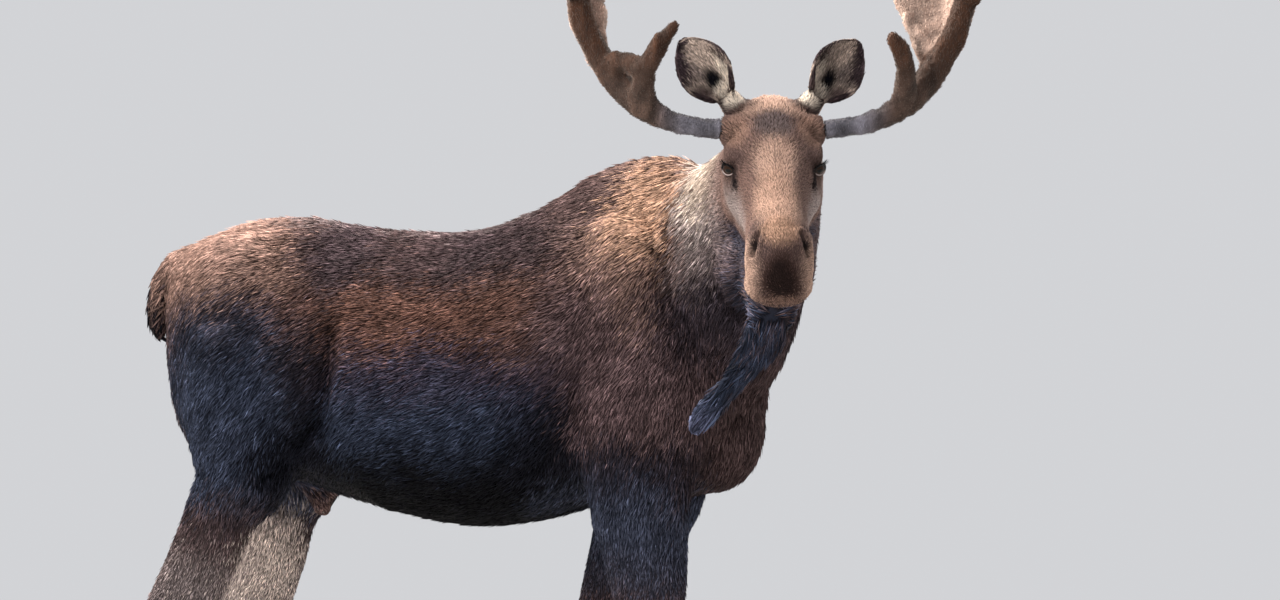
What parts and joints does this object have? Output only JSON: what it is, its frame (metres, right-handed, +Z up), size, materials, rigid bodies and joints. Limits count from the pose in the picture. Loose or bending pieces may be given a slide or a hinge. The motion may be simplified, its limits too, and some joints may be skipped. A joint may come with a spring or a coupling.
{
  "type": "bull moose",
  "caption": "Life-size bull moose standing still, head turned to its right, ears up, broad palmed antlers in velvet, humped shoulders, a long bell under the throat and a short tail.",
  "frame": {"origin": "on the floor, under the middle of the model's overall footprint box", "axes": "+Z up from the hooves to the antler tips, +X the way the body faces, +Y towards the body's left side; the head looks towards -Y, its own right"},
  "size_m": [2.2758, 1.0934, 2.6098],
  "materials": {
    "coat": "short dense hair, dark brown with tan over the hump and face",
    "velvet": "short velvet over antler bone",
    "horn": "dull hoof horn",
    "eye": "wet, dark brown"
  },
  "bodies": {
    "root": {"antler_left_beam": "velvet", "antler_left_brow_tine": "velvet", "antler_left_palm": "velvet", "antler_right_beam": "velvet", "antler_right_brow_tine": "velvet", "antler_right_palm": "velvet", "bell": "coat", "ear_left": "coat", "ear_right": "coat", "eye_left": "eye", "eye_right": "eye", "fore_left_cannon": "coat", "fore_left_dewclaw_inner": "horn", "fore_left_dewclaw_outer": "horn", "fore_left_forearm": "coat", "fore_left_hoof_inner": "horn", "fore_left_hoof_outer": "horn", "fore_left_pastern": "coat", "fore_right_cannon": "coat", "fore_right_dewclaw_inner": "horn", "fore_right_dewclaw_outer": "horn", "fore_right_forearm": "coat", "fore_right_hoof_inner": "horn", "fore_right_hoof_outer": "horn", "fore_right_pastern": "coat", "head": "coat", "hind_left_cannon": "coat", "hind_left_dewclaw_inner": "horn", "hind_left_dewclaw_outer": "horn", "hind_left_hoof_inner": "horn", "hind_left_hoof_outer": "horn", "hind_left_pastern": "coat", "hind_left_shank": "coat", "hind_right_cannon": "coat", "hind_right_dewclaw_inner": "horn", "hind_right_dewclaw_outer": "horn", "hind_right_hoof_inner": "horn", "hind_right_hoof_outer": "horn", "hind_right_pastern": "coat", "hind_right_shank": "coat", "neck": "coat", "sheath": "coat", "tail": "coat", "trunk": "coat"}
  },
  "joints": []
}
